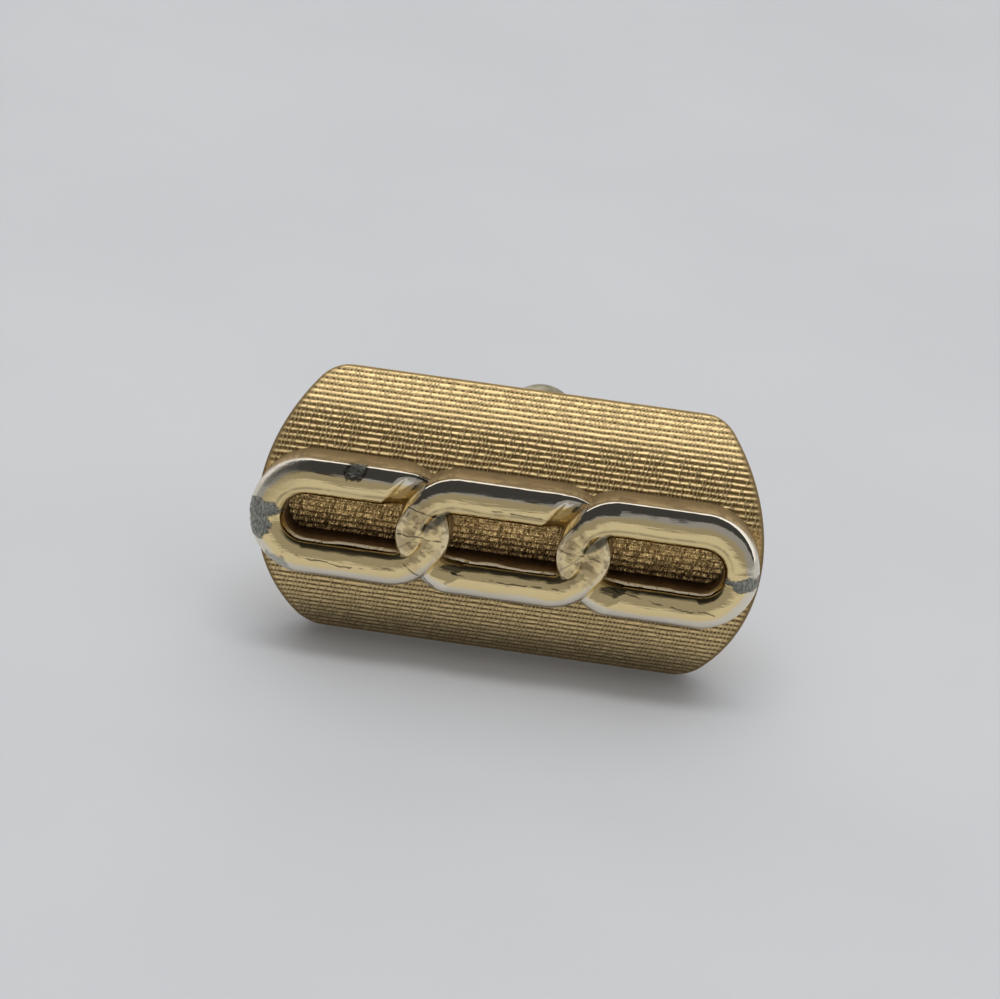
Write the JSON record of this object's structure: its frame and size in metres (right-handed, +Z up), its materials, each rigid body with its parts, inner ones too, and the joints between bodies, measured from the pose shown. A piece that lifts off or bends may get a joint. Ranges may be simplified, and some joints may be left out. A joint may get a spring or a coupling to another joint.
{
  "type": "cufflink",
  "caption": "Oblong curved cufflink face with an engraved linen texture, a relief of interlocked oblong links and a bullet toggle back.",
  "frame": {"origin": "on the surface that the cufflink stands on, under the middle of its bounding box", "axes": "+X along the face from the left link to the right link, +Y away from the viewer along the toggle, +Z up"},
  "size_m": [0.0255, 0.0284, 0.0136],
  "materials": {
    "engraved_gold_plate": "engraved linen texture, satin gold plate, brown in the hollows",
    "worn_gold_plate": "polished gold plate, scuffed and rubbed through to grey metal at the ends",
    "plain_gold_plate": "dull polished gold plate"
  },
  "bodies": {
    "root": {"face_plate": "engraved_gold_plate", "link_left": "worn_gold_plate", "link_middle": "worn_gold_plate", "link_right": "worn_gold_plate", "toggle_back": "plain_gold_plate"}
  },
  "joints": []
}
